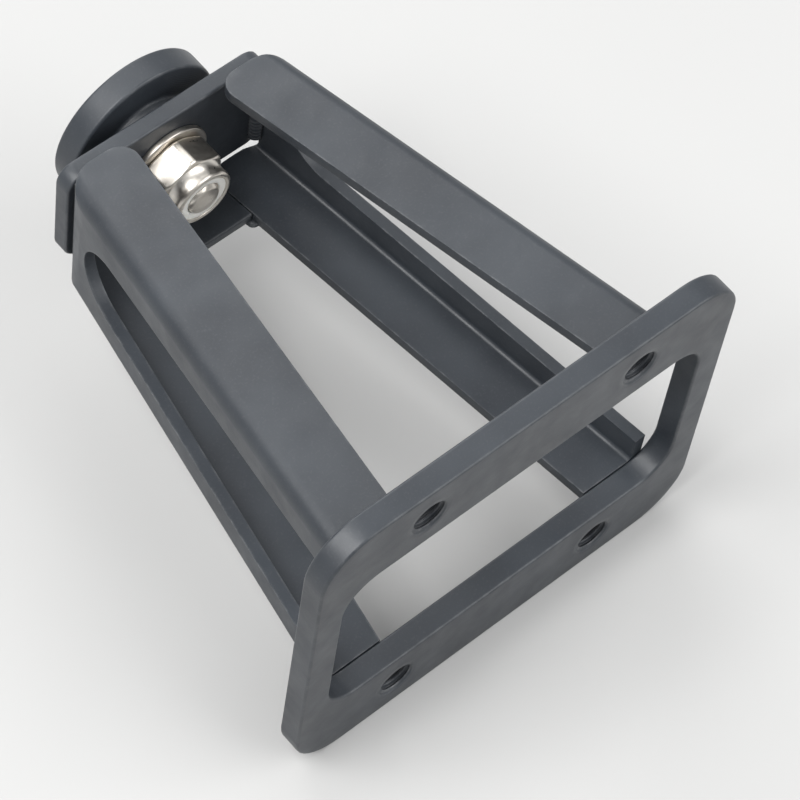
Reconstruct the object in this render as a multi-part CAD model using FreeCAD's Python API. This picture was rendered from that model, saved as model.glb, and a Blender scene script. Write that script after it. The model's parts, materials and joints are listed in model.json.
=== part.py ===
"""Spare tire carrier: a small welded steel tower that holds a spare wheel off a truck body.

The tower is drawn standing on its base plate, axis along +Z, and lay_down() turns every piece
into the part's own frame: origin at the middle of the mounting face, the tower pointing along -Y
and +Z up, as it sits on a tailgate. All lengths are in millimetres.
"""
import FreeCAD, Part
import math
import os

from FreeCAD import Vector

# ---- base plate ------------------------------------------------------------------------------
BASE_LENGTH = 38.5
BASE_WIDTH = 31.5
BASE_THICKNESS = 2.0
BASE_CORNER_RADIUS = 4.5
OPENING_LENGTH = 33.5
OPENING_WIDTH = 17.6
OPENING_CORNER_RADIUS = 3.0
# Tapped M3 holes on the middle of the two long rims; the hole is the tapping drill's size.
HOLE_SPACING_X = 19.5
HOLE_SPACING_Y = 24.6
HOLE_RADIUS = 1.25

# ---- tower: two side channels folded from sheet ------------------------------------------------
SHEET = 1.0
TOWER_TOP = 39.7
FOOT_HALF_X = 15.8
FOOT_HALF_Y = 9.7
TOP_HALF_X = 9.9
TOP_HALF_Y = 6.5
BEND_RADIUS = 1.4
FLANGE_WIDTH = 5.8
WEB_LEG_WIDTH = 3.6
WEB_SLOT_TOP = 33.0
TIP_OUTER_RADIUS = 2.8
TIP_INNER_RADIUS = 1.6
RAIL_BOTTOM = 34.8
RAIL_TOP = 39.6

# ---- head of the tower: bridge and wheel seat --------------------------------------------------
BRIDGE_THICKNESS = 1.5
BRIDGE_LENGTH = 19.0
BRIDGE_WIDTH = 10.4
BRIDGE_CORNER_RADIUS = 1.5
SEAT_RADIUS = 6.8
SEAT_THICKNESS = 2.2
SEAT_CHAMFER = 0.3
SHOULDER_RADIUS = 3.8
SHOULDER_HEIGHT = 1.3
SPIGOT_RADIUS = 2.6
BORE_RADIUS = 1.6
# Recess in the wheel face that takes the screw's head and washer.
COUNTERBORE_RADIUS = 3.15
COUNTERBORE_DEPTH = 2.2

# ---- clamp screw set, thread M3 x 0.5 --------------------------------------------------------
THREAD_RADIUS = 1.5
THREAD_GAP = 0.03
SCREW_LENGTH = 8.0
SCREW_TIP_CHAMFER = 0.3
HEAD_RADIUS = 2.85
HEAD_HEIGHT = 1.65
HEAD_RIM_HEIGHT = 0.35
SOCKET_ACROSS_FLATS = 2.0
SOCKET_DEPTH = 1.0
WHEEL_WASHER_RADIUS = 3.0
NUT_WASHER_RADIUS = 3.5
WASHER_THICKNESS = 0.5
WASHER_CHAMFER = 0.08
NUT_ACROSS_FLATS = 5.5
NUT_HEIGHT = 4.0
NUT_HEX_HEIGHT = 2.6
NUT_CORNER_ROUNDING = 0.3
NUT_COLLAR_RADIUS = 2.6
NUT_INSERT_RADIUS = 2.2
NUT_INSERT_HEIGHT = 1.1

# ---- weld beads --------------------------------------------------------------------------------
FOOT_WELD_LEG = 1.1
FOOT_WELD_TO_HOLE = 0.4
RAIL_WELD_RADIUS = 0.6
BRIDGE_WELD_LEG = 0.8
BRIDGE_WELD_END_GAP = 0.5
SEAT_WELD_LEG = 0.6

# Cutting tools reach this far past what they cut.
OVERCUT = 5.0
# Two points closer together than this are the same point.
SAME_PLACE = 1e-4

BRIDGE_TOP = TOWER_TOP + BRIDGE_THICKNESS
SEAT_BOTTOM = BRIDGE_TOP + SHOULDER_HEIGHT
SEAT_TOP = SEAT_BOTTOM + SEAT_THICKNESS
COUNTERBORE_FLOOR = SEAT_TOP - COUNTERBORE_DEPTH
UNDER_HEAD = COUNTERBORE_FLOOR + WASHER_THICKNESS
HEAD_TOP = UNDER_HEAD + HEAD_HEIGHT


def lay_down(shape):
    """Turn a piece from the standing tower into the part's frame."""
    turned = shape.copy()
    turned.rotate(Vector(0, 0, 0), Vector(1, 0, 0), 90)
    return turned


def save(name, *solids):
    shape = solids[0] if len(solids) == 1 else Part.makeCompound(list(solids))
    lay_down(shape).exportStep(os.path.join("parts", name + ".step"))


def half_x(z):
    """Outer half width of the tower along x at height z."""
    share = (z - BASE_THICKNESS) / (TOWER_TOP - BASE_THICKNESS)
    return FOOT_HALF_X + (TOP_HALF_X - FOOT_HALF_X) * share


def half_y(z):
    """Outer half width of the tower along y at height z."""
    share = (z - BASE_THICKNESS) / (TOWER_TOP - BASE_THICKNESS)
    return FOOT_HALF_Y + (TOP_HALF_Y - FOOT_HALF_Y) * share


def rounded_rectangle(half_length, half_width, radius, z):
    """Closed wire of a rectangle with round corners, centred on the axis at height z."""
    inner_x = half_length - radius
    inner_y = half_width - radius
    quarter = math.pi / 2
    edges = []
    for index, (sx, sy) in enumerate(((1, 1), (-1, 1), (-1, -1), (1, -1))):
        centre = Vector(sx * inner_x, sy * inner_y, z)
        turn = index * quarter
        circle = Part.Circle(centre, Vector(0, 0, 1), radius)
        edges.append(circle.toShape(turn, turn + quarter))
    straight = []
    for index, arc in enumerate(edges):
        following = edges[(index + 1) % len(edges)]
        straight.append(Part.makeLine(arc.lastVertex().Point, following.firstVertex().Point))
    ordered = []
    for arc, line in zip(edges, straight):
        ordered += [arc, line]
    return Part.Wire(ordered)


def rounded_block(length, width, radius, bottom, top):
    face = Part.Face(rounded_rectangle(length / 2, width / 2, radius, bottom))
    return face.extrude(Vector(0, 0, top - bottom))


def disc(radius, bottom, top, chamfer=0.0):
    """Cylinder on the tower axis, with both rims chamfered when asked."""
    body = Part.makeCylinder(radius, top - bottom, Vector(0, 0, bottom))
    if chamfer:
        rims = [e for e in body.Edges if isinstance(e.Curve, Part.Circle)]
        body = body.makeChamfer(chamfer, rims)
    return body


def bored(shape, radius):
    hole = Part.makeCylinder(radius, HEAD_TOP + 2 * OVERCUT, Vector(0, 0, -OVERCUT))
    return shape.cut(hole)


def hexagon_prism(across_flats, bottom, top):
    corner = across_flats / math.sqrt(3)
    points = [Vector(corner * math.cos(k * math.pi / 3), corner * math.sin(k * math.pi / 3), bottom)
              for k in range(7)]
    return Part.Face(Part.makePolygon(points)).extrude(Vector(0, 0, top - bottom))


def outline_prism(points, direction):
    """Prism through the whole tower from an outline of points, drawn on one side of it."""
    wire = Part.makePolygon(points + [points[0]])
    return Part.Face(wire).extrude(direction)


# ---- base ------------------------------------------------------------------------------------
def base_plate():
    plate = rounded_block(BASE_LENGTH, BASE_WIDTH, BASE_CORNER_RADIUS, 0, BASE_THICKNESS)
    opening = rounded_block(OPENING_LENGTH, OPENING_WIDTH, OPENING_CORNER_RADIUS,
                            -OVERCUT, BASE_THICKNESS + OVERCUT)
    plate = plate.cut(opening)
    for sx in (-1, 1):
        for sy in (-1, 1):
            centre = Vector(sx * HOLE_SPACING_X / 2, sy * HOLE_SPACING_Y / 2, -OVERCUT)
            hole = Part.makeCylinder(HOLE_RADIUS, BASE_THICKNESS + 2 * OVERCUT, centre)
            plate = plate.cut(hole)
    return plate


# ---- folded sheet tower ------------------------------------------------------------------------
def tapered_tube():
    """Four-sided tapered tube in bent sheet, before its windows are cut."""
    outer = Part.makeLoft([rounded_rectangle(half_x(z), half_y(z), BEND_RADIUS, z)
                           for z in (BASE_THICKNESS, TOWER_TOP)], True, True)
    low = BASE_THICKNESS - OVERCUT
    high = TOWER_TOP + OVERCUT
    inner = Part.makeLoft([rounded_rectangle(half_x(z) - SHEET, half_y(z) - SHEET,
                                             BEND_RADIUS - SHEET, z)
                           for z in (low, high)], True, True)
    return outer.cut(inner)


def front_window(bottom, top):
    """Prism between the flanges, cut through both broad sides of the tower."""
    depth = 2 * FOOT_HALF_Y + 2 * OVERCUT
    y = -depth / 2
    points = [Vector(sx * (half_x(z) - FLANGE_WIDTH), y, z)
              for sx, z in ((-1, bottom), (1, bottom), (1, top), (-1, top))]
    return outline_prism(points, Vector(0, depth, 0))


def web_slot():
    """Tapered slot with a round top, cut through both narrow sides of the tower."""
    depth = 2 * FOOT_HALF_X + 2 * OVERCUT
    x = -depth / 2
    bottom = BASE_THICKNESS - OVERCUT
    half_foot = half_y(bottom) - WEB_LEG_WIDTH
    half_top = half_y(WEB_SLOT_TOP) - WEB_LEG_WIDTH
    crown = Vector(x, 0, WEB_SLOT_TOP + half_top)
    left_foot = Vector(x, -half_foot, bottom)
    right_foot = Vector(x, half_foot, bottom)
    left_top = Vector(x, -half_top, WEB_SLOT_TOP)
    right_top = Vector(x, half_top, WEB_SLOT_TOP)
    wire = Part.Wire([Part.makeLine(left_foot, right_foot),
                      Part.makeLine(right_foot, right_top),
                      Part.Arc(right_top, crown, left_top).toShape(),
                      Part.makeLine(left_top, left_foot)])
    return Part.Face(wire).extrude(Vector(depth, 0, 0))


def tip_outline(side):
    """Outline seen from the front that one channel keeps: its flange tips are rounded."""
    depth = 2 * FOOT_HALF_Y + 2 * OVERCUT
    low = BASE_THICKNESS - OVERCUT
    inner_low = half_x(low) - FLANGE_WIDTH
    inner_top = half_x(TOWER_TOP) - FLANGE_WIDTH
    outer_low = half_x(low)
    outer_top = half_x(TOWER_TOP)
    y = -depth / 2
    corners = [(inner_low, low), (outer_low, low), (outer_top, TOWER_TOP), (inner_top, TOWER_TOP)]
    points = [Vector(side * x, y, z) for x, z in corners]
    prism = outline_prism(points, Vector(0, depth, 0))
    outer_edge = edge_through(prism, side * outer_top, TOWER_TOP)
    prism = prism.makeFillet(TIP_OUTER_RADIUS, [outer_edge])
    inner_edge = edge_through(prism, side * inner_top, TOWER_TOP)
    return prism.makeFillet(TIP_INNER_RADIUS, [inner_edge])


def edge_through(shape, x, z):
    """The edge along y that passes through x and z."""
    for edge in shape.Edges:
        ends = [v.Point for v in edge.Vertexes]
        if all(abs(p.x - x) < SAME_PLACE and abs(p.z - z) < SAME_PLACE for p in ends):
            return edge
    raise ValueError("no edge at x=%g z=%g" % (x, z))


def side_channel(side):
    channel = tapered_tube().cut(web_slot())
    return channel.common(tip_outline(side))


def rear_rail():
    """Flat bar between the two rear flange tips, in the plane of the rear side."""
    behind = Part.makeBox(2 * FOOT_HALF_X, FOOT_HALF_Y, TOWER_TOP,
                          Vector(-FOOT_HALF_X, -FOOT_HALF_Y, 0))
    return tapered_tube().common(front_window(RAIL_BOTTOM, RAIL_TOP)).common(behind)


# ---- head ------------------------------------------------------------------------------------
def top_bridge():
    bridge = rounded_block(BRIDGE_LENGTH, BRIDGE_WIDTH, BRIDGE_CORNER_RADIUS,
                           TOWER_TOP, BRIDGE_TOP)
    return bored(bridge, SPIGOT_RADIUS)


def wheel_seat():
    seat = disc(SEAT_RADIUS, SEAT_BOTTOM, SEAT_TOP, SEAT_CHAMFER)
    shoulder = disc(SHOULDER_RADIUS, BRIDGE_TOP, SEAT_BOTTOM)
    spigot = disc(SPIGOT_RADIUS, TOWER_TOP, BRIDGE_TOP)
    counterbore = disc(COUNTERBORE_RADIUS, COUNTERBORE_FLOOR, SEAT_TOP + OVERCUT)
    return bored(seat.fuse([shoulder, spigot]).removeSplitter().cut(counterbore), BORE_RADIUS)


# ---- clamp screw set ---------------------------------------------------------------------------
def circles_at(shape, z):
    """Round edges of a turned body that lie at height z."""
    return [e for e in shape.Edges
            if isinstance(e.Curve, Part.Circle) and abs(e.Curve.Center.z - z) < SAME_PLACE]


def wheel_washer():
    return washer(WHEEL_WASHER_RADIUS, COUNTERBORE_FLOOR)


def nut_washer():
    return washer(NUT_WASHER_RADIUS, TOWER_TOP - WASHER_THICKNESS)


def washer(radius, bottom):
    ring = disc(radius, bottom, bottom + WASHER_THICKNESS, WASHER_CHAMFER)
    return bored(ring, BORE_RADIUS)


def button_head():
    """Domed head: a short straight rim, then part of a ball up to the top."""
    dome_height = HEAD_HEIGHT - HEAD_RIM_HEIGHT
    ball_radius = (HEAD_RADIUS ** 2 + dome_height ** 2) / (2 * dome_height)
    ball = Part.makeSphere(ball_radius, Vector(0, 0, HEAD_TOP - ball_radius))
    return disc(HEAD_RADIUS, UNDER_HEAD, HEAD_TOP).common(ball)


def wheel_screw():
    tip = UNDER_HEAD - SCREW_LENGTH
    head = button_head()
    shank = disc(THREAD_RADIUS - THREAD_GAP, tip, UNDER_HEAD)
    shank = shank.makeChamfer(SCREW_TIP_CHAMFER, circles_at(shank, tip))
    socket = hexagon_prism(SOCKET_ACROSS_FLATS, HEAD_TOP - SOCKET_DEPTH, HEAD_TOP + OVERCUT)
    return head.fuse(shank).removeSplitter().cut(socket)


def lock_nut():
    """Hexagon nut with a round collar below that holds the nylon ring."""
    top = TOWER_TOP - WASHER_THICKNESS
    bottom = top - NUT_HEIGHT
    hexagon = hexagon_prism(NUT_ACROSS_FLATS, top - NUT_HEX_HEIGHT, top)
    envelope = disc(NUT_ACROSS_FLATS / 2 + NUT_CORNER_ROUNDING, bottom, top, NUT_CORNER_ROUNDING)
    collar = disc(NUT_COLLAR_RADIUS, bottom, top - NUT_HEX_HEIGHT)
    pocket = disc(NUT_INSERT_RADIUS, bottom - OVERCUT, bottom + NUT_INSERT_HEIGHT)
    nut = hexagon.common(envelope).fuse(collar).cut(pocket)
    return bored(nut, THREAD_RADIUS)


def nut_insert():
    bottom = TOWER_TOP - WASHER_THICKNESS - NUT_HEIGHT
    ring = disc(NUT_INSERT_RADIUS, bottom, bottom + NUT_INSERT_HEIGHT)
    return bored(ring, THREAD_RADIUS)


# ---- weld beads --------------------------------------------------------------------------------
def outer_frustum(bottom, top):
    """Solid inside the tower's outer faces between two heights."""
    return Part.makeLoft([rounded_rectangle(half_x(z), half_y(z), BEND_RADIUS, z)
                          for z in (bottom, top)], True, True)


def foot_welds(side):
    """Two beads, front and rear, around one channel's outer corners, clear of the bolt holes."""
    low = BASE_THICKNESS
    high = BASE_THICKNESS + FOOT_WELD_LEG
    skirt = Part.makeLoft([rounded_rectangle(half_x(low) + FOOT_WELD_LEG, half_y(low) + FOOT_WELD_LEG,
                                             BEND_RADIUS + FOOT_WELD_LEG, low),
                           rounded_rectangle(half_x(high), half_y(high), BEND_RADIUS, high)],
                          True, True)
    skirt = skirt.cut(outer_frustum(low - OVERCUT, high + OVERCUT))
    inner = HOLE_SPACING_X / 2 + HOLE_RADIUS + FOOT_WELD_TO_HOLE
    length = FOOT_HALF_X + FOOT_WELD_LEG - inner
    beads = []
    for front in (-1, 1):
        corner_x = inner if side > 0 else -inner - length
        corner_y = OPENING_WIDTH / 2 if front > 0 else -OPENING_WIDTH / 2 - OVERCUT
        region = Part.makeBox(length, OVERCUT, OVERCUT, Vector(corner_x, corner_y, 0))
        beads.append(skirt.common(region).Solids[0])
    return beads


def rail_welds():
    """Proud beads along the two butt joints of the rear rail, on the outside."""
    beads = []
    for side in (-1, 1):
        ends = [Vector(side * (half_x(z) - FLANGE_WIDTH), -half_y(z), z)
                for z in (RAIL_BOTTOM, RAIL_TOP - RAIL_WELD_RADIUS)]
        along = ends[1] - ends[0]
        rod = Part.makeCylinder(RAIL_WELD_RADIUS, along.Length, ends[0], along)
        caps = [Part.makeSphere(RAIL_WELD_RADIUS, end) for end in ends]
        bead = rod.fuse(caps).cut(outer_frustum(BASE_THICKNESS, TOWER_TOP))
        beads.append(bead.Solids[0])
    return beads


def bridge_welds():
    """Beads under the bridge, along the inside of the two webs."""
    length = BRIDGE_WIDTH - 2 * BRIDGE_WELD_END_GAP
    beads = []
    for side in (-1, 1):
        top_x = side * (half_x(TOWER_TOP) - SHEET)
        low_z = TOWER_TOP - BRIDGE_WELD_LEG
        low_x = side * (half_x(low_z) - SHEET)
        points = [Vector(x, -length / 2, z)
                  for x, z in ((top_x, TOWER_TOP), (low_x, low_z),
                               (top_x - side * BRIDGE_WELD_LEG, TOWER_TOP))]
        beads.append(outline_prism(points, Vector(0, length, 0)))
    return beads


def seat_weld():
    """Ring bead between the seat's shoulder and the bridge."""
    cone = Part.makeCone(SHOULDER_RADIUS + SEAT_WELD_LEG, SHOULDER_RADIUS, SEAT_WELD_LEG,
                         Vector(0, 0, BRIDGE_TOP))
    return bored(cone, SHOULDER_RADIUS)


def main():
    os.makedirs("parts", exist_ok=True)
    save("base_plate", base_plate())
    save("left_channel", side_channel(-1))
    save("right_channel", side_channel(1))
    save("rear_rail", rear_rail())
    save("top_bridge", top_bridge())
    save("wheel_seat", wheel_seat())
    save("left_foot_welds", *foot_welds(-1))
    save("right_foot_welds", *foot_welds(1))
    save("rail_welds", *rail_welds())
    save("bridge_welds", *bridge_welds())
    save("seat_weld", seat_weld())
    save("wheel_washer", wheel_washer())
    save("wheel_screw", wheel_screw())
    save("nut_washer", nut_washer())
    save("lock_nut", lock_nut())
    save("nut_insert", nut_insert())


main()
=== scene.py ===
"""The looks of the spare tire carrier: a coated steel tower, its plated screw set and a studio.

Shapes are drawn on the standing tower, in millimetres, with the tower's axis along +z and its
mounting face at z = 0. tower_point() turns them into the part's own frame, in metres.
"""
import json
import math

import bmesh
import bpy
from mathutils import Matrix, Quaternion, Vector


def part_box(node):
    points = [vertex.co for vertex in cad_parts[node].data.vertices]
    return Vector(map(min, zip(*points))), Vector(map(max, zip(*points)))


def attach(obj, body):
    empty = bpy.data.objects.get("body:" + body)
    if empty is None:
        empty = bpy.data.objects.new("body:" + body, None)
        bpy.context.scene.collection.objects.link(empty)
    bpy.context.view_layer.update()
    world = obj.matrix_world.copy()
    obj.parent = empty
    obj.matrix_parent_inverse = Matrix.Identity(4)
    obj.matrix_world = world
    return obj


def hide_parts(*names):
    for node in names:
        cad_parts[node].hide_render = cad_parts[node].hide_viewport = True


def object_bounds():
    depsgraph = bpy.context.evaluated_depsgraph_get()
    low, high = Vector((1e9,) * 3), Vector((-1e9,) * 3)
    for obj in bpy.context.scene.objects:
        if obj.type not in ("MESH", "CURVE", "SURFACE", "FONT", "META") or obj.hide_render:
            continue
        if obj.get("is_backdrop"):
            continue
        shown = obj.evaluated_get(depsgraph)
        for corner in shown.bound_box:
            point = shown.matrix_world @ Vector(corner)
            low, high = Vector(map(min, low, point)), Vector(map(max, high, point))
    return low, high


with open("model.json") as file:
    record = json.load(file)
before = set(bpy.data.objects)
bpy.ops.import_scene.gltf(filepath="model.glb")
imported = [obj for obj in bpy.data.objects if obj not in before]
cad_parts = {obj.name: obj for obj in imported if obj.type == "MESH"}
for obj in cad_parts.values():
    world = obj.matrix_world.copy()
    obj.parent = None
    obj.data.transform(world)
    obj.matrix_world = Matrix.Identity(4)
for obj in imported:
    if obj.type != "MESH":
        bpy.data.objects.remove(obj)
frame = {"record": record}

cad_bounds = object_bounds()

MM = 0.001

# ---- sizes that the nodes' boxes don't give, in millimetres ------------------------------------
BASE_CORNER_RADIUS = 4.5
OPENING_LENGTH = 33.5
OPENING_WIDTH = 17.6
OPENING_CORNER_RADIUS = 3.0
SHEET = 1.0
BEND_RADIUS = 1.4
FLANGE_WIDTH = 5.8
WEB_LEG_WIDTH = 3.6
WEB_SLOT_TOP = 33.0
TIP_OUTER_RADIUS = 2.8
TIP_INNER_RADIUS = 1.6
BRIDGE_CORNER_RADIUS = 1.5
SPIGOT_RADIUS = 2.6
SHOULDER_RADIUS = 3.8
SEAT_THICKNESS = 2.2
COUNTERBORE_RADIUS = 3.15
BORE_RADIUS = 1.6
THREAD_PITCH = 0.5
THREAD_RADIUS = 1.47
THREAD_DEPTH = 0.27
TAPPED_DEPTH = 0.22
SOCKET_ACROSS_FLATS = 2.0
SOCKET_DEPTH = 1.0
HEAD_RIM_HEIGHT = 0.35
NUT_ACROSS_FLATS = 5.5
NUT_HEX_HEIGHT = 2.6
NUT_COLLAR_RADIUS = 2.6
FOOT_WELD_LEG = 1.1
BRIDGE_WELD_LEG = 0.8
SEAT_WELD_LEG = 0.6
RIPPLE_PITCH = 0.42
RIPPLE_LOW = 0.86
RIPPLE_DEPTH = 0.14
RIPPLE_BOW = 0.55
# A bead's size over its weld's leg, and how far its face is flattened between the two legs.
BEAD_FILL = 0.98
BEAD_FLATTENING = 0.13

# How far the edges of each kind of piece are rounded.
CUT_EDGE = 0.22
SHEET_EDGE = 0.2
TURNED_EDGE = 0.25
WASHER_EDGE = 0.12
SMALL_CHAMFER = 0.1
LIP = 0.15
HOLE_COUNTERSINK = 0.15

# The thread's profile, in half pitches: half width of its foot, and width of each flank.
THREAD_FOOT = 0.88
THREAD_FLANK = 0.63
# Radial play between the thread's plain radius and the ring or nut round it.
THREAD_PLAY = 0.03
# Radius of the socket's round mouth over the socket's width across flats.
SOCKET_MOUTH_RATIO = 0.61

TURN = 2 * math.pi
AROUND = 144
# Width of the even band of faces that frames a flat face inside its rounded edge.
FLAT_BAND = 0.45

# Tone of the studio round the part, and of the floor far from it.
BACKDROP = (0.92, 0.935, 0.95, 1)
BACKDROP_STRENGTH = 0.62

# Half size of the floor and its gap under the part, in metres.
FLOOR_HALF_SIZE = 1.6
FLOOR_GAP = 0.00002

# Name, azimuth and elevation in degrees, distance and size in metres, and watts.
LIGHTS = (("key", 78.0, 58.0, 0.55, 0.34, 3.3),
          ("fill", 215.0, 38.0, 0.60, 0.50, 2.3),
          ("front", -20.0, 40.0, 0.60, 0.45, 1.7))

CAMERA_AZIMUTH = 130.4
CAMERA_ELEVATION = 58.9
CAMERA_ROLL = 10.5
CAMERA_DISTANCE = 0.289
CAMERA_LENS = 176.6
CAMERA_SENSOR = 36.0
# The point that the camera looks at, from the middle of the part, in millimetres.
CAMERA_AIM = Vector((-1.8, 8.0, -3.2))

# Colours of the coat, the plate, the nylon and the floor.
COAT_DARK = (0.0185, 0.0225, 0.0285, 1)
COAT_LIGHT = (0.0275, 0.033, 0.0405, 1)
COAT_GRAIN = (0.052, 0.056, 0.063, 1)
# Paler edge colour of the coat: partly thin, worn coat and partly painted edge sheen.
COAT_WORN_AND_SHEEN = (0.17, 0.175, 0.18, 1)
PLATE_CLEAN = (0.70, 0.66, 0.60, 1)
PLATE_STAINED = (0.58, 0.535, 0.475, 1)
# Lighter plate colour painted on edges and creases as a painted highlight.
PLATE_EDGE_HIGHLIGHT = (0.80, 0.77, 0.72, 1)
NYLON_DARK = (0.78, 0.77, 0.72, 1)
NYLON_LIGHT = (0.86, 0.85, 0.81, 1)
PAPER_DARK = (0.45, 0.448, 0.442, 1)
PAPER_LIGHT = (0.475, 0.473, 0.467, 1)
BLACK = (0, 0, 0, 1)


def tower_point(x, y, z):
    """A point of the standing tower, in millimetres, as a point of the part's frame, in metres."""
    return Vector((x, -z, y)) * MM


def tower_box(node):
    """Lowest and highest corner of a CAD node on the standing tower, in millimetres."""
    low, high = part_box(node)
    return (Vector((low.x, low.z, -high.y)) / MM, Vector((high.x, high.z, -low.y)) / MM)


BASE_LOW, BASE_HIGH = tower_box("base_plate")
CHANNEL_LOW, CHANNEL_HIGH = tower_box("right_channel")
RAIL_LOW, RAIL_HIGH = tower_box("rear_rail")
BRIDGE_LOW, BRIDGE_HIGH = tower_box("top_bridge")
SEAT_LOW, SEAT_HIGH = tower_box("wheel_seat")
SCREW_LOW, SCREW_HIGH = tower_box("wheel_screw")
NUT_LOW, NUT_HIGH = tower_box("lock_nut")
INSERT_LOW, INSERT_HIGH = tower_box("nut_insert")
FOOT = CHANNEL_LOW.z
TOWER_TOP = CHANNEL_HIGH.z


def straight_taper(foot_size, rail_size):
    """Size at height z of something that tapers evenly through the feet and the rail's lower edge."""
    slope = (rail_size - foot_size) / (RAIL_LOW.z - FOOT)
    return lambda z: foot_size + slope * (z - FOOT)


half_x = straight_taper(CHANNEL_HIGH.x, RAIL_HIGH.x + FLANGE_WIDTH)
half_y = straight_taper(CHANNEL_HIGH.y, -RAIL_LOW.y)
LEAN = math.atan((half_x(FOOT) - half_x(TOWER_TOP)) / (TOWER_TOP - FOOT))


# ---- mesh helpers ------------------------------------------------------------------------------
def finish_piece(name, bm, body, node, material):
    """Makes a smooth-shaded piece that stands for a CAD node and moves with its body."""
    bmesh.ops.remove_doubles(bm, verts=bm.verts, dist=1e-8)
    bmesh.ops.recalc_face_normals(bm, faces=bm.faces)
    mesh = bpy.data.meshes.new(name)
    bm.to_mesh(mesh)
    bm.free()
    mesh.polygons.foreach_set("use_smooth", [True] * len(mesh.polygons))
    piece = bpy.data.objects.new(name, mesh)
    bpy.context.scene.collection.objects.link(piece)
    mesh.materials.append(material)
    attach(piece, body)
    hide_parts(node)
    return piece


def even_normals(piece):
    """Keeps big flat faces flat-looking next to their small rounded edges."""
    weighted = piece.modifiers.new("even_normals", "WEIGHTED_NORMAL")
    weighted.weight = 100
    weighted.keep_sharp = True
    return piece


def round_edges(piece):
    """Rounds every edge of a sheet piece that is sharper than 35 degrees."""
    bevel = piece.modifiers.new("round_edges", "BEVEL")
    bevel.width = SHEET_EDGE * MM
    bevel.segments = 3
    bevel.limit_method = "ANGLE"
    bevel.angle_limit = math.radians(35)
    return even_normals(piece)


def join_rings(bm, lower, upper):
    """Quads between two rings of vertices of the same length."""
    count = len(lower)
    for index in range(count):
        following = (index + 1) % count
        corners = [lower[index], lower[following], upper[following], upper[index]]
        if len(set(corners)) == len(corners):
            bm.faces.new(corners)


def join_stack(bm, rings, around=False):
    """Quads between each ring and the next, and from the last to the first where they go around."""
    following = rings[1:] + rings[:1] if around else rings[1:]
    for lower, upper in zip(rings, following):
        join_rings(bm, lower, upper)


def ring_vertices(bm, points):
    return [bm.verts.new(tower_point(*point)) for point in points]


def quarter_round(size, steps=4):
    """(inset, rise) pairs of a quarter circle, from the flat face to the side wall."""
    angles = [math.pi / 2 * step / steps for step in range(steps + 1)]
    return [(size * (1 - math.sin(a)), size * (1 - math.cos(a))) for a in angles]


# ---- flat plates -------------------------------------------------------------------------------
def round_rectangle(half_length, half_width, radius, steps=10):
    """Outline of a round-cornered rectangle on the tower's axis."""
    points = []
    for index, (sx, sy) in enumerate(((1, 1), (-1, 1), (-1, -1), (1, -1))):
        for step in range(steps + 1):
            angle = math.pi / 2 * (index + step / steps)
            points.append((sx * (half_length - radius) + radius * math.cos(angle),
                           sy * (half_width - radius) + radius * math.sin(angle)))
    return points


def circle(centre_x, centre_y, radius, steps=64):
    return [(centre_x + radius * math.cos(TURN * k / steps),
             centre_y + radius * math.sin(TURN * k / steps)) for k in range(steps)]


def rounded_wall(outline, bottom, top, edge):
    """Rings from bottom to top; outline(inset) gives the outline at each inset from the wall."""
    lower = [(edge + FLAT_BAND, bottom)]
    lower += [(inset, bottom + rise) for inset, rise in quarter_round(edge)]
    upper = [(inset, top - rise) for inset, rise in reversed(quarter_round(edge))]
    upper.append((edge + FLAT_BAND, top))
    return [[(x, y, z) for x, y in outline(inset)] for inset, z in lower + upper]


def tapped_wall(centre_x, centre_y, radius, bottom, top, steps=64):
    """Rings of a tapped hole: a countersink at each end and a helical thread between them."""
    rows = 48
    rings = []
    for row in range(rows + 1):
        z = bottom + (top - bottom) * row / rows
        from_end = min(z - bottom, top - z)
        mouth = radius + TAPPED_DEPTH + max(0.0, HOLE_COUNTERSINK - from_end)
        points = []
        for k in range(steps):
            share = (z / THREAD_PITCH - k / steps) % 1.0
            threaded = radius + TAPPED_DEPTH * (1 - thread_shape(share))
            wall = max(threaded, mouth if from_end < HOLE_COUNTERSINK else 0.0)
            angle = TURN * k / steps
            points.append((centre_x + wall * math.cos(angle), centre_y + wall * math.sin(angle), z))
        rings.append(points)
    mouth = radius + TAPPED_DEPTH + HOLE_COUNTERSINK + FLAT_BAND
    band = circle(centre_x, centre_y, mouth, steps)
    return [[(x, y, bottom) for x, y in band]] + rings + [[(x, y, top) for x, y in band]]


def plate(walls):
    """Solid plate from its walls, each a stack of rings, with both faces filled between them."""
    bm = bmesh.new()
    stacks = []
    for wall in walls:
        rings = [ring_vertices(bm, ring) for ring in wall]
        join_stack(bm, rings)
        stacks.append(rings)
    for face in (0, -1):
        edges = []
        for rings in stacks:
            ring = rings[face]
            edges += [bm.edges.get((ring[k], ring[(k + 1) % len(ring)])) for k in range(len(ring))]
        bmesh.ops.triangle_fill(bm, use_beauty=True, edges=edges)
    return bm


def thread_shape(share):
    """Height of a thread's profile, 0 at the root and 1 at the crest, over one pitch."""
    flank = abs(share - 0.5) * 2
    return min(1.0, max(0.0, (THREAD_FOOT - flank) / THREAD_FLANK))


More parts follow.
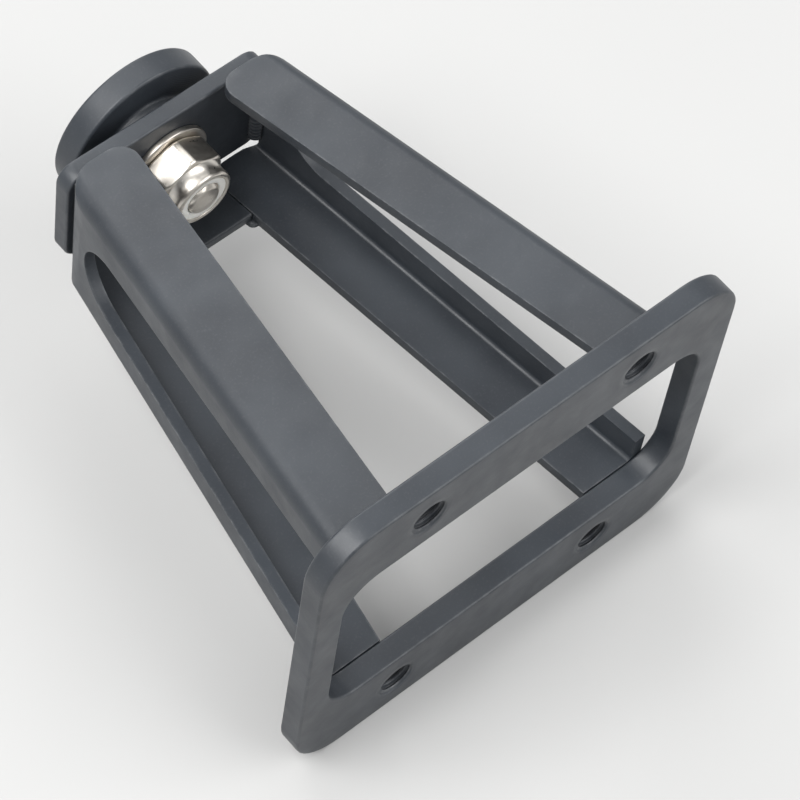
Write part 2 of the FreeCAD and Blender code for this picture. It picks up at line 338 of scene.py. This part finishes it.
def base_plate():
    bottom, top = BASE_LOW.z, BASE_HIGH.z
    half_length, half_width = BASE_HIGH.x, BASE_HIGH.y

    def rim(inset):
        return round_rectangle(half_length - inset, half_width - inset, BASE_CORNER_RADIUS - inset)

    def opening(inset):
        return round_rectangle(OPENING_LENGTH / 2 + inset, OPENING_WIDTH / 2 + inset,
                               OPENING_CORNER_RADIUS + inset)

    walls = [rounded_wall(rim, bottom, top, CUT_EDGE), rounded_wall(opening, bottom, top, CUT_EDGE)]
    bolts = next(m for m in frame["record"]["mounts"] if m["name"] == "base_bolts")["dims"]
    for sx in (-1, 1):
        for sy in (-1, 1):
            walls.append(tapped_wall(sx * bolts["spacing_x_mm"] / 2, sy * bolts["spacing_y_mm"] / 2,
                                     bolts["hole_r_mm"], bottom, top))
    return plate(walls)


def top_bridge():
    bottom, top = BRIDGE_LOW.z, BRIDGE_HIGH.z

    def rim(inset):
        return round_rectangle(BRIDGE_HIGH.x - inset, BRIDGE_HIGH.y - inset,
                               BRIDGE_CORNER_RADIUS - inset)

    def hole(inset):
        return circle(0, 0, SPIGOT_RADIUS + inset)

    return plate([rounded_wall(rim, bottom, top, CUT_EDGE),
                  rounded_wall(hole, bottom, top, CUT_EDGE / 2)])


# ---- folded channels ---------------------------------------------------------------------------
def tip_height(inset):
    """Height of the rounded tip along a line that runs up the sheet, inset from its outer face."""
    for radius, line, inward in ((TIP_OUTER_RADIUS, 0.0, 1), (TIP_INNER_RADIUS, FLANGE_WIDTH, -1)):
        centre_z = TOWER_TOP - radius
        centre_x = half_x(centre_z) - line - inward * radius / math.cos(LEAN)
        beyond = (half_x(TOWER_TOP) - inset - centre_x) * inward
        if beyond > 0:
            slope = -math.tan(LEAN)
            gap = half_x(centre_z) - inset - centre_x
            a = 1 + slope * slope
            b = 2 * gap * slope
            c = gap * gap - radius * radius
            return centre_z + (-b + math.sqrt(max(0.0, b * b - 4 * a * c))) / (2 * a)
    return TOWER_TOP


def leg_columns():
    """Distances from the slot's edge to the flange's free edge, closer together round the curves."""
    web = WEB_LEG_WIDTH - BEND_RADIUS
    bend = BEND_RADIUS * math.pi / 2
    flange = FLANGE_WIDTH - BEND_RADIUS
    straight = flange - TIP_INNER_RADIUS
    tip_start = web + bend + flange - TIP_INNER_RADIUS
    bend_steps, straight_steps, tip_steps = 12, 4, 8
    columns = [0.0, SHEET_EDGE * 2, web]
    columns += [web + bend * step / bend_steps for step in range(1, bend_steps + 1)]
    columns += [web + bend + straight * step / straight_steps for step in range(1, straight_steps + 1)]
    columns += [tip_start + TIP_INNER_RADIUS * math.sin(math.pi / 2 * step / tip_steps)
                for step in range(1, tip_steps + 1)]
    return columns


def leg_place(distance, depth):
    """(inset in x, inset in y) from the outer faces, for a point of the folded sheet."""
    web = WEB_LEG_WIDTH - BEND_RADIUS
    bend = BEND_RADIUS * math.pi / 2
    if distance <= web:
        return depth, WEB_LEG_WIDTH - distance
    if distance <= web + bend:
        angle = (distance - web) / BEND_RADIUS
        radius = BEND_RADIUS - depth
        return BEND_RADIUS - radius * math.cos(angle), BEND_RADIUS - radius * math.sin(angle)
    return BEND_RADIUS + distance - web - bend, depth


def channel_columns():
    """Every column of the unfolded channel as (y side, distance from the slot, place in the slot)."""
    legs = leg_columns()
    columns = [(-1, distance, None) for distance in reversed(legs)]
    inside = 16
    columns += [(0, 0.0, -math.cos(math.pi * step / inside)) for step in range(1, inside)]
    columns += [(1, distance, None) for distance in legs]
    return columns


def channel_vertex(column, level, depth, upper):
    """Point of one channel. level runs 0 to 1 up the legs, or up the head above the slot."""
    side, distance, across = column
    if across is None:
        inset_x, inset_y = leg_place(distance, depth)
        start = WEB_SLOT_TOP
    else:
        inset_x, inset_y = depth, None
        arch = half_y(WEB_SLOT_TOP) - WEB_LEG_WIDTH
        start = WEB_SLOT_TOP + arch * math.sqrt(max(0.0, 1 - across * across))
    if upper:
        z = start + (tip_height(inset_x) - start) * level
    else:
        z = FOOT + (WEB_SLOT_TOP - FOOT) * level
    x = half_x(z) - inset_x
    if across is None:
        y = side * (half_y(z) - inset_y)
    else:
        y = across * (half_y(z) - WEB_LEG_WIDTH)
    return x, y, z


def side_channel(side):
    """One folded channel: outer and inner skins of quads, closed by the cut edges between them."""
    bm = bmesh.new()
    columns = channel_columns()
    low_rows, high_rows, depths = 14, 8, 4

    def vertex(column, level, depth, upper):
        x, y, z = channel_vertex(column, level, depth, upper)
        return bm.verts.new(tower_point(side * x, y, z))

    def row(level, depth, upper):
        return [vertex(c, level, depth, upper) if upper or c[2] is None else None for c in columns]

    def skin(rows):
        for lower, upper in zip(rows, rows[1:]):
            for k in range(len(columns) - 1):
                corners = [lower[k], lower[k + 1], upper[k + 1], upper[k]]
                if None not in corners:
                    bm.faces.new(corners)

    for depth in (0.0, SHEET):
        skin([row(level / low_rows, depth, False) for level in range(low_rows + 1)])
        skin([row(level / high_rows, depth, True) for level in range(high_rows + 1)])

    levels = [SHEET * step / depths for step in range(depths + 1)]
    feet = [row(0.0, depth, False) for depth in levels]
    tips = [row(1.0, depth, True) for depth in levels]
    skin(feet)
    skin(tips)
    slot = [k for k, c in enumerate(columns) if c[2] is not None]
    slot_edges = (slot[0] - 1, slot[-1] + 1)
    arch = list(range(slot_edges[0], slot_edges[1] + 1))
    for near, far in zip(levels, levels[1:]):
        for first, second in zip(arch, arch[1:]):
            bm.faces.new([vertex(columns[first], 0.0, near, True),
                          vertex(columns[second], 0.0, near, True),
                          vertex(columns[second], 0.0, far, True),
                          vertex(columns[first], 0.0, far, True)])
        for edge in (0, *slot_edges, len(columns) - 1):
            column = columns[edge]
            for rows, upper in ((low_rows, False), (high_rows, True)):
                if upper and edge in slot_edges:
                    continue
                for level in range(rows):
                    bm.faces.new([vertex(column, level / rows, near, upper),
                                  vertex(column, (level + 1) / rows, near, upper),
                                  vertex(column, (level + 1) / rows, far, upper),
                                  vertex(column, level / rows, far, upper)])
    return bm


def rear_rail():
    """Flat bar in the slope of the rear side, between the two rear flanges."""
    bm = bmesh.new()
    corners = []
    for z in (RAIL_LOW.z, RAIL_HIGH.z):
        for depth in (0.0, SHEET):
            for side in (-1, 1):
                x = side * (half_x(z) - FLANGE_WIDTH)
                corners.append(bm.verts.new(tower_point(x, depth - half_y(z), z)))
    for face in ((0, 1, 5, 4), (2, 3, 7, 6), (0, 2, 3, 1), (4, 5, 7, 6), (0, 4, 6, 2), (1, 3, 7, 5)):
        bm.faces.new([corners[k] for k in face])
    return bm


# ---- turned pieces -----------------------------------------------------------------------------
def rings_of_rows(bm, rows):
    """Rings of vertices round the axis from rows of (radius function of the angle, z)."""
    rings = []
    for radius_at, z in rows:
        ring = []
        for k in range(AROUND):
            angle = TURN * k / AROUND
            radius = radius_at(angle)
            ring.append((radius * math.cos(angle), radius * math.sin(angle), z))
        rings.append(ring_vertices(bm, ring))
    return rings


def ring_of_rows(rows):
    """Ring-shaped solid whose last row joins its first."""
    bm = bmesh.new()
    join_stack(bm, rings_of_rows(bm, rows), around=True)
    return bm


def round_row(radius):
    return lambda angle: radius


def round_rows(profile):
    return [(round_row(radius), z) for radius, z in profile]


def turned_ring(profile):
    """Ring turned from a closed profile of (radius, z) points."""
    return ring_of_rows(round_rows(profile))


def ring_profile(inner, outer, bottom, top, edge):
    """Closed profile of a flat ring with rounded outer edges and lightly broken inner ones."""
    small = edge / 2
    profile = [(outer - inset, bottom + rise) for inset, rise in quarter_round(edge)]
    profile += [(outer - inset, top - rise) for inset, rise in reversed(quarter_round(edge))]
    profile += [(inner + small, top), (inner, top - small), (inner, bottom + small),
                (inner + small, bottom)]
    return profile


def wheel_seat():
    """Turned disc, shoulder and spigot, with a recess in the wheel face for the screw's head."""
    bottom, top = SEAT_LOW.z, SEAT_HIGH.z
    radius = SEAT_HIGH.x
    bridge_top = BRIDGE_HIGH.z
    disc_bottom = top - SEAT_THICKNESS
    recess_floor = tower_box("wheel_washer")[0].z
    neck = 0.3
    profile = [(BORE_RADIUS + SMALL_CHAMFER, bottom), (SPIGOT_RADIUS - LIP, bottom),
               (SPIGOT_RADIUS, bottom + LIP), (SPIGOT_RADIUS, bridge_top),
               (SHOULDER_RADIUS, bridge_top), (SHOULDER_RADIUS, disc_bottom - neck)]
    profile += [(SHOULDER_RADIUS + rise, disc_bottom - inset)
                for inset, rise in quarter_round(neck)[1:]]
    profile += [(radius - TURNED_EDGE - FLAT_BAND, disc_bottom)]
    profile += [(radius - inset, disc_bottom + rise) for inset, rise in quarter_round(TURNED_EDGE)]
    profile += [(radius - inset, top - rise) for inset, rise in reversed(quarter_round(TURNED_EDGE))]
    profile += [(radius - TURNED_EDGE - FLAT_BAND, top),
                (COUNTERBORE_RADIUS + LIP + FLAT_BAND, top), (COUNTERBORE_RADIUS + LIP, top),
                (COUNTERBORE_RADIUS, top - LIP), (COUNTERBORE_RADIUS, recess_floor + SMALL_CHAMFER),
                (COUNTERBORE_RADIUS - SMALL_CHAMFER, recess_floor),
                (BORE_RADIUS, recess_floor), (BORE_RADIUS, bottom + SMALL_CHAMFER)]
    return turned_ring(profile)


def washer(node):
    low, high = tower_box(node)
    return turned_ring(ring_profile(BORE_RADIUS, high.x, low.z, high.z, WASHER_EDGE))


def nut_insert():
    return turned_ring(ring_profile(THREAD_RADIUS + THREAD_PLAY, INSERT_HIGH.x,
                                    INSERT_LOW.z + SMALL_CHAMFER, INSERT_HIGH.z, WASHER_EDGE))


def hexagon_radius(across_flats, angle):
    turned = (angle + TURN / 12) % (TURN / 6) - TURN / 12
    return across_flats / 2 / math.cos(turned)


def capped_rows(rows):
    """Closed solid from rows around the axis, capped at both ends."""
    bm = bmesh.new()
    rings = rings_of_rows(bm, rows)
    join_stack(bm, rings)
    for ring, z in ((rings[0], rows[0][1]), (rings[-1], rows[-1][1])):
        centre = bm.verts.new(tower_point(0, 0, z))
        for k in range(AROUND):
            bm.faces.new([ring[k], ring[(k + 1) % AROUND], centre])
    return bm


def hexagon_row(across_flats):
    return lambda angle: hexagon_radius(across_flats, angle)


def thread_row(z, depth):
    """Right-hand thread: the crest climbs one pitch in one turn."""
    def radius_at(angle):
        share = (z / THREAD_PITCH - angle / TURN) % 1.0
        return THREAD_RADIUS - depth * (1 - thread_shape(share))
    return radius_at


def wheel_screw():
    """Button head screw: hexagon socket, domed head and a full-length thread, in one skin."""
    head_radius = SCREW_HIGH.x
    top = SCREW_HIGH.z
    under_head = tower_box("wheel_washer")[1].z
    tip = SCREW_LOW.z
    floor_z = top - SOCKET_DEPTH
    dome_height = top - under_head - HEAD_RIM_HEIGHT
    ball = (head_radius ** 2 + dome_height ** 2) / (2 * dome_height)
    socket_mouth = SOCKET_ACROSS_FLATS * SOCKET_MOUTH_RATIO
    drill_point, mouth_drop, mouth_edge = 0.25, 0.16, 0.02
    rim_edge, neck = 0.06, 0.12
    dome_steps = 14

    def dome_z(radius):
        return top - ball + math.sqrt(ball ** 2 - radius ** 2)

    rows = [(hexagon_row(SOCKET_ACROSS_FLATS * 0.5), floor_z - drill_point),
            (hexagon_row(SOCKET_ACROSS_FLATS), floor_z),
            (hexagon_row(SOCKET_ACROSS_FLATS), dome_z(socket_mouth) - mouth_drop),
            (round_row(socket_mouth), dome_z(socket_mouth) - mouth_edge)]
    for step in range(1, dome_steps + 1):
        radius = socket_mouth + (head_radius - rim_edge - socket_mouth) * step / dome_steps
        rows.append((round_row(radius), dome_z(radius)))
    rows += round_rows([(head_radius, under_head + HEAD_RIM_HEIGHT - rim_edge),
                        (head_radius, under_head + SMALL_CHAMFER),
                        (head_radius - SMALL_CHAMFER, under_head),
                        (THREAD_RADIUS + SMALL_CHAMFER, under_head),
                        (THREAD_RADIUS, under_head - neck)])
    rows += thread_rows(under_head - 0.2, tip)
    rows += round_rows([(THREAD_RADIUS - 0.18, tip + 0.1), (THREAD_RADIUS - 0.34, tip)])
    return capped_rows(rows)


def thread_rows(start, tip):
    """Rows of the thread from start down to its chamfered tip, faded out at both ends."""
    end = tip + 0.3
    rows_per_pitch = 24
    head_fade, tip_fade = 0.5, 0.4
    steps = int((start - end) / THREAD_PITCH * rows_per_pitch)
    rows = []
    for step in range(steps + 1):
        z = start + (end - start) * step / steps
        fade = max(0.0, min(1.0, (start - z) / head_fade, (z - tip) / tip_fade))
        rows.append((thread_row(z, THREAD_DEPTH * fade), z))
    return rows


def lock_nut():
    """Hexagon nut with chamfered corners and a round collar rolled in over the nylon ring."""
    top, bottom = NUT_HIGH.z, NUT_LOW.z
    hex_bottom = top - NUT_HEX_HEIGHT
    corner = NUT_HIGH.x
    bore = THREAD_RADIUS + THREAD_PLAY
    collar = NUT_COLLAR_RADIUS
    pocket_depth, chamfer = 1.15, 0.25
    cone_start, cone_slope = 0.05, 1.73
    hex_steps = 24

    def body_row(z):
        from_face = min(top - z, z - hex_bottom)
        cone = NUT_ACROSS_FLATS / 2 - cone_start + from_face * cone_slope
        return lambda angle: min(hexagon_radius(NUT_ACROSS_FLATS, angle), corner, cone)

    rows = round_rows([(bore, bottom + pocket_depth), (collar - 0.38, bottom + pocket_depth),
                       (collar - 0.38, bottom + 0.3), (collar - 0.5, bottom + 0.1),
                       (collar - 0.42, bottom), (collar - 0.16, bottom),
                       (collar - 0.04, bottom + 0.12), (collar, bottom + 0.35),
                       (collar, hex_bottom)])
    rise = NUT_HEX_HEIGHT / hex_steps
    for step in range(hex_steps + 1):
        z = hex_bottom + rise * step
        rows.append((body_row(z), z))
    rows += round_rows([(bore + chamfer, top), (bore, top - chamfer)])
    return ring_of_rows(rows)


# ---- weld beads --------------------------------------------------------------------------------
def ripple(distance, swing):
    """Size of a bead at a distance along it: overlapping scallops, bowed back by swing."""
    share = (distance / RIPPLE_PITCH + RIPPLE_BOW * swing) % 1.0
    return RIPPLE_LOW + RIPPLE_DEPTH * math.sqrt(max(0.0, 1 - (2 * share - 1) ** 2))


def close_bead(bm, rings):
    """Skin of a straight or bent bead, with a face on each end."""
    join_stack(bm, rings)
    bm.faces.new(rings[0])
    bm.faces.new(rings[-1])


def fillet_bead(bm, path, length, leg):
    """Bead in a corner. path(s) gives the corner point and its two outward directions at s."""
    steps_per_ripple, least_steps = 12, 24
    steps = max(least_steps, int(length / RIPPLE_PITCH * steps_per_ripple))
    arc = 10
    rings = []
    for step in range(steps + 1):
        distance = length * step / steps
        corner, first, second = path(distance)
        ends = min(1.0, math.sqrt(max(0.0, min(distance, length - distance)) / (leg * 0.6)) + 0.15)
        ring = [corner]
        for k in range(arc + 1):
            angle = math.pi / 2 * k / arc
            swing = math.sin(2 * angle)
            size = leg * BEAD_FILL * ends * ripple(distance, swing)
            bulge = 1 - BEAD_FLATTENING * swing
            ring.append(corner + (first * math.cos(angle) + second * math.sin(angle)) * size * bulge)
        rings.append(ring_vertices(bm, ring))
    close_bead(bm, rings)


def foot_path(side, front):
    """Corner between the base and one outer corner of a channel, from the flange round to the web."""
    start_x = tower_box("right_foot_welds")[0].x
    centre_x, centre_y = half_x(FOOT) - BEND_RADIUS, half_y(FOOT) - BEND_RADIUS
    straight = centre_x - start_x
    last = math.asin((OPENING_WIDTH / 2 - centre_y) / BEND_RADIUS)
    length = straight + BEND_RADIUS * (math.pi / 2 - last)

    def path(distance):
        if distance < straight:
            point, outward = Vector((start_x + distance, half_y(FOOT), FOOT)), Vector((0, 1, 0))
        else:
            angle = math.pi / 2 - (distance - straight) / BEND_RADIUS
            outward = Vector((math.cos(angle), math.sin(angle), 0))
            point = Vector((centre_x, centre_y, FOOT)) + outward * BEND_RADIUS
        flip = Vector((side, front, 1))
        up = Vector((-outward.x * math.tan(LEAN), -outward.y * 0.1, 1))
        return point * flip, outward * flip, up * flip

    return path, length


def foot_welds(side):
    bm = bmesh.new()
    for front in (-1, 1):
        path, length = foot_path(side, front)
        fillet_bead(bm, path, length, FOOT_WELD_LEG)
    return bm


def bridge_welds():
    bm = bmesh.new()
    low, high = tower_box("bridge_welds")
    for side in (-1, 1):
        corner_x = half_x(TOWER_TOP) - SHEET

        def path(distance):
            return (Vector((side * corner_x, low.y + distance, TOWER_TOP)), Vector((-side, 0, 0)),
                    Vector((0, 0, -1)))

        fillet_bead(bm, path, high.y - low.y, BRIDGE_WELD_LEG)
    return bm


def rail_welds():
    """Proud beads along the rail's two butt joints, on the outside."""
    bm = bmesh.new()
    low, high = tower_box("rail_welds")
    radius = RAIL_LOW.z - low.z
    steps, arc = 110, 10
    sunk = Vector((0, 0.12, 0))
    fill, least_end, height = 0.97, 0.08, 0.8
    for side in (-1, 1):
        rings = []
        for step in range(steps + 1):
            z = low.z + (high.z - low.z) * step / steps
            from_end = min(z - low.z, high.z - z)
            ends = math.sqrt(max(0.0, 1 - max(0.0, 1 - from_end / radius) ** 2))
            centre = Vector((side * (half_x(z) - FLANGE_WIDTH), -half_y(z), z))
            ring = [centre + sunk]
            for k in range(arc + 1):
                angle = math.pi * k / arc
                size = radius * fill * max(least_end, ends) * ripple(z, math.sin(angle))
                ring.append(centre + Vector((-size * math.cos(angle),
                                             -size * height * math.sin(angle), 0)))
            rings.append(ring_vertices(bm, ring))
        close_bead(bm, rings)
    return bm


def seat_weld():
    """Ring bead round the seat's shoulder."""
    bm = bmesh.new()
    steps, arc = 360, 8
    up = Vector((0, 0, 1))
    around = SHOULDER_RADIUS * TURN
    pitch_fix = around / RIPPLE_PITCH / round(around / RIPPLE_PITCH)
    rings = []
    for step in range(steps):
        angle = TURN * step / steps
        outward = Vector((math.cos(angle), math.sin(angle), 0))
        corner = outward * SHOULDER_RADIUS + Vector((0, 0, BRIDGE_HIGH.z))
        ring = [corner]
        for k in range(arc + 1):
            turn = math.pi / 2 * k / arc
            swing = math.sin(2 * turn)
            size = SEAT_WELD_LEG * BEAD_FILL * ripple(around * step / steps / pitch_fix, swing)
            size *= 1 - BEAD_FLATTENING * swing
            ring.append(corner + (outward * math.cos(turn) + up * math.sin(turn)) * size)
        rings.append(ring_vertices(bm, ring))
    join_stack(bm, rings, around=True)
    return bm


# ---- materials ---------------------------------------------------------------------------------
class Recipe:
    """One node material, with short calls to add and join its nodes."""

    def __init__(self, name):
        self.material = bpy.data.materials.new(name)
        self.material.use_nodes = True
        self.nodes = self.material.node_tree.nodes
        self.links = self.material.node_tree.links
        self.shader = self.nodes["Principled BSDF"]
        self.place = self.nodes.new("ShaderNodeTexCoord").outputs["Object"]

    def add(self, kind, **inputs):
        node = self.nodes.new(kind)
        for name, value in inputs.items():
            self.feed(node.inputs[name.replace("_", " ")], value)
        return node

    def feed(self, socket, value):
        if isinstance(value, bpy.types.NodeSocket):
            self.links.new(value, socket)
        else:
            socket.default_value = value

    def noise(self, per_metre, detail=3.0, roughness=0.5):
        node = self.add("ShaderNodeTexNoise", Vector=self.place, Scale=per_metre, Detail=detail,
                        Roughness=roughness)
        return node.outputs["Fac"]

    def spread(self, value, low, high, new_low=0.0, new_high=1.0):
        node = self.nodes.new("ShaderNodeMapRange")
        for index, entry in enumerate((value, low, high, new_low, new_high)):
            self.feed(node.inputs[index], entry)
        return node.outputs[0]

    def maths(self, operation, first, second=0.0):
        node = self.nodes.new("ShaderNodeMath")
        node.operation = operation
        self.feed(node.inputs[0], first)
        self.feed(node.inputs[1], second)
        return node.outputs[0]

    def blend(self, share, first, second):
        node = self.nodes.new("ShaderNodeMix")
        node.data_type = "RGBA"
        self.feed(node.inputs["Factor"], share)
        self.feed(node.inputs["A"], first)
        self.feed(node.inputs["B"], second)
        return node.outputs["Result"]

    def bump(self, height, distance, strength, normal=None):
        node = self.add("ShaderNodeBump", Height=height, Distance=distance, Strength=strength)
        if normal is not None:
            self.feed(node.inputs["Normal"], normal)
        return node.outputs["Normal"]

    def edges(self, radius):
        """1 on convex and concave edges, 0 on open faces."""
        bevel = self.add("ShaderNodeBevel", Radius=radius)
        bevel.samples = 4
        compare = self.nodes.new("ShaderNodeVectorMath")
        compare.operation = "DOT_PRODUCT"
        self.feed(compare.inputs[0], bevel.outputs["Normal"])
        self.feed(compare.inputs[1], self.nodes.new("ShaderNodeNewGeometry").outputs["True Normal"])
        return self.spread(compare.outputs["Value"], 1.0, 0.86)

    def turning_marks(self, per_metre):
        """Fine rings round the tower's axis."""
        parts = self.add("ShaderNodeSeparateXYZ", Vector=self.place)
        squares = [self.maths("POWER", parts.outputs[axis], 2.0) for axis in ("X", "Z")]
        radius = self.maths("SQRT", self.maths("ADD", squares[0], squares[1]))
        return self.maths("SINE", self.maths("MULTIPLY", radius, per_metre * TURN))


def coated_steel(name, turned=False, peel=0.35):
    """Satin black coat: orange peel, a slightly uneven tone, and paler edges, partly a thinner, worn
    film and partly painted edge sheen.
    """
    mix = Recipe(name)
    cloud = mix.noise(140.0, 3.0)
    grain = mix.noise(5200.0, 2.0)
    tone = mix.blend(mix.spread(cloud, 0.35, 0.65), COAT_DARK, COAT_LIGHT)
    tone = mix.blend(mix.spread(grain, 0.55, 0.75, 0.0, 0.35), tone, COAT_GRAIN)
    broken = mix.spread(mix.noise(900.0, 4.0, 0.65), 0.42, 0.62)
    # Paler colour on convex and concave edges: partly worn coat, partly a painted edge highlight.
    wear_and_sheen = mix.maths("MULTIPLY", mix.edges(0.00028), broken)
    tone = mix.blend(mix.maths("MULTIPLY", wear_and_sheen, 0.55), tone, COAT_WORN_AND_SHEEN)
    mix.feed(mix.shader.inputs["Base Color"], tone)
    mix.feed(mix.shader.inputs["Metallic"], mix.maths("MULTIPLY", wear_and_sheen, 0.35))
    rough = mix.spread(mix.noise(420.0, 2.0), 0.3, 0.7, 0.40, 0.52)
    mix.feed(mix.shader.inputs["Roughness"], rough)
    mix.feed(mix.shader.inputs["Coat Weight"], 0.12)
    mix.feed(mix.shader.inputs["Coat Roughness"], 0.35)
    normal = mix.bump(mix.noise(1500.0, 2.0), 0.00004, peel)
    normal = mix.bump(grain, 0.00001, 0.35, normal)
    if turned:
        normal = mix.bump(mix.turning_marks(5500.0), 0.000006, 0.5, normal)
    mix.feed(mix.shader.inputs["Normal"], normal)
    return mix.material


def plated_steel(name, turned=False):
    """Nickel plate, warm and slightly dulled, with fine scratches and a painted highlight on its
    edges.
    """
    mix = Recipe(name)
    stain = mix.spread(mix.noise(700.0, 4.0, 0.6), 0.35, 0.7)
    tone = mix.blend(stain, PLATE_CLEAN, PLATE_STAINED)
    # Painted highlight: the plate's colour is lightened on convex and concave edges.
    painted_edge_highlight = mix.maths("MULTIPLY", mix.edges(0.00015), 0.5)
    mix.feed(mix.shader.inputs["Base Color"], mix.blend(painted_edge_highlight, tone, PLATE_EDGE_HIGHLIGHT))
    mix.feed(mix.shader.inputs["Metallic"], 1.0)
    mix.feed(mix.shader.inputs["Roughness"], mix.spread(mix.noise(2600.0, 3.0), 0.3, 0.7, 0.27, 0.4))
    normal = mix.bump(mix.noise(8000.0, 2.0), 0.000003, 0.2)
    if turned:
        normal = mix.bump(mix.turning_marks(7000.0), 0.000005, 0.4, normal)
    mix.feed(mix.shader.inputs["Normal"], normal)
    return mix.material


def nylon(name):
    mix = Recipe(name)
    tone = mix.blend(mix.noise(900.0), NYLON_DARK, NYLON_LIGHT)
    mix.feed(mix.shader.inputs["Base Color"], tone)
    mix.feed(mix.shader.inputs["Roughness"], mix.spread(mix.noise(3000.0), 0.3, 0.7, 0.42, 0.58))
    mix.feed(mix.shader.inputs["Subsurface Weight"], 0.15)
    mix.feed(mix.shader.inputs["Subsurface Radius"], (0.0006, 0.0005, 0.0004))
    mix.feed(mix.shader.inputs["Normal"], mix.bump(mix.noise(4000.0), 0.00001, 0.3))
    return mix.material


def pale_paper(name):
    """Floor paper that fades into the backdrop's tone far from the part, so no horizon shows."""
    mix = Recipe(name)
    tone = mix.blend(mix.noise(18.0), PAPER_DARK, PAPER_LIGHT)
    distance = mix.nodes.new("ShaderNodeVectorMath")
    distance.operation = "LENGTH"
    mix.feed(distance.inputs[0], mix.place)
    far = mix.spread(distance.outputs["Value"], 0.12, 0.75)
    mix.feed(mix.shader.inputs["Base Color"], mix.blend(far, tone, BLACK))
    mix.feed(mix.shader.inputs["Specular IOR Level"], mix.maths("SUBTRACT", 0.5, far))
    mix.feed(mix.shader.inputs["Emission Color"], BACKDROP)
    mix.feed(mix.shader.inputs["Emission Strength"], mix.maths("MULTIPLY", far, BACKDROP_STRENGTH))
    mix.feed(mix.shader.inputs["Roughness"], 0.85)
    mix.feed(mix.shader.inputs["Normal"], mix.bump(mix.noise(700.0), 0.00002, 0.2))
    return mix.material


# ---- studio ------------------------------------------------------------------------------------
def floor():
    """Plain pale floor just under the base plate's lower edge."""
    half = FLOOR_HALF_SIZE
    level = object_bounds()[0].z - FLOOR_GAP
    bm = bmesh.new()
    bm.faces.new([bm.verts.new((half * sx, half * sy, level))
                  for sx, sy in ((-1, -1), (1, -1), (1, 1), (-1, 1))])
    mesh = bpy.data.meshes.new("floor")
    bm.to_mesh(mesh)
    bm.free()
    mesh.materials.append(pale_paper("pale_paper"))
    piece = bpy.data.objects.new("floor", mesh)
    bpy.context.scene.collection.objects.link(piece)
    piece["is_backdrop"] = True


def soft_light(name, azimuth, elevation, distance, size, watts, target):
    """Square soft light; azimuth 0 stands in front of the part, where the tower points."""
    data = bpy.data.lights.new(name, "AREA")
    data.size = size
    data.energy = watts
    lamp = bpy.data.objects.new(name, data)
    bpy.context.scene.collection.objects.link(lamp)
    back = direction_back(azimuth, elevation)
    lamp.location = target + back * distance
    lamp.rotation_mode = "QUATERNION"
    lamp.rotation_quaternion = (-back).to_track_quat("-Z", "Y")


def direction_back(azimuth, elevation):
    """Unit vector from the part towards a viewer at that azimuth and elevation, in degrees."""
    turn, rise = math.radians(azimuth), math.radians(elevation)
    return Vector((math.sin(turn) * math.cos(rise), -math.cos(turn) * math.cos(rise), math.sin(rise)))


def world_light():
    world = bpy.data.worlds.new("studio")
    bpy.context.scene.world = world
    world.use_nodes = True
    background = world.node_tree.nodes["Background"]
    background.inputs["Color"].default_value = BACKDROP
    background.inputs["Strength"].default_value = BACKDROP_STRENGTH


def camera(target):
    """Long lens behind and above the base plate, rolled a little."""
    data = bpy.data.cameras.new("camera")
    data.sensor_width = CAMERA_SENSOR
    data.lens = CAMERA_LENS
    data.clip_start = 0.01
    viewer = bpy.data.objects.new("camera", data)
    bpy.context.scene.collection.objects.link(viewer)
    back = direction_back(CAMERA_AZIMUTH, CAMERA_ELEVATION)
    viewer.location = target + back * CAMERA_DISTANCE
    viewer.rotation_mode = "QUATERNION"
    level = (-back).to_track_quat("-Z", "Y")
    viewer.rotation_quaternion = level @ Quaternion((0, 0, 1), math.radians(CAMERA_ROLL))
    bpy.context.scene.camera = viewer


# ---- the whole ---------------------------------------------------------------------------------
def build_frame():
    """The welded tower, in three kinds of the black coat."""
    coat = coated_steel("black_coat")
    turned_coat = coated_steel("black_coat_turned", turned=True, peel=0.2)
    weld_coat = coated_steel("black_coat_weld", peel=0.6)

    def add(node, ending, bm, material):
        return finish_piece(node + ending, bm, "frame", node, material)

    even_normals(add("base_plate", "_skin", base_plate(), coat))
    even_normals(add("top_bridge", "_skin", top_bridge(), coat))
    round_edges(add("left_channel", "_skin", side_channel(-1), coat))
    round_edges(add("right_channel", "_skin", side_channel(1), coat))
    round_edges(add("rear_rail", "_skin", rear_rail(), coat))
    add("left_foot_welds", "_bead", foot_welds(-1), weld_coat)
    add("right_foot_welds", "_bead", foot_welds(1), weld_coat)
    add("rail_welds", "_bead", rail_welds(), weld_coat)
    add("bridge_welds", "_bead", bridge_welds(), weld_coat)
    add("seat_weld", "_bead", seat_weld(), weld_coat)
    even_normals(add("wheel_seat", "_turned", wheel_seat(), turned_coat))


def build_screw_set():
    """The clamp screw, its washers and its lock nut with the nylon ring."""
    metal = plated_steel("plated_steel")
    turned_metal = plated_steel("plated_steel_turned", turned=True)

    def add(node, ending, bm, body, material, slot="plated_steel"):
        even_normals(finish_piece(node + ending, bm, body, node, material))

    add("wheel_washer", "_ring", washer("wheel_washer"), "clamp_washer", turned_metal)
    add("nut_washer", "_ring", washer("nut_washer"), "frame", turned_metal)
    add("wheel_screw", "_threaded", wheel_screw(), "clamp_screw", metal)
    add("lock_nut", "_hex", lock_nut(), "frame", metal)
    add("nut_insert", "_ring", nut_insert(), "frame", nylon("nylon"), "nylon")


build_frame()
build_screw_set()
centre = (cad_bounds[0] + cad_bounds[1]) / 2
floor()
world_light()
for light in LIGHTS:
    soft_light(*light, centre)
camera(centre + CAMERA_AIM * MM)
bpy.context.scene.view_settings.view_transform = "Standard"
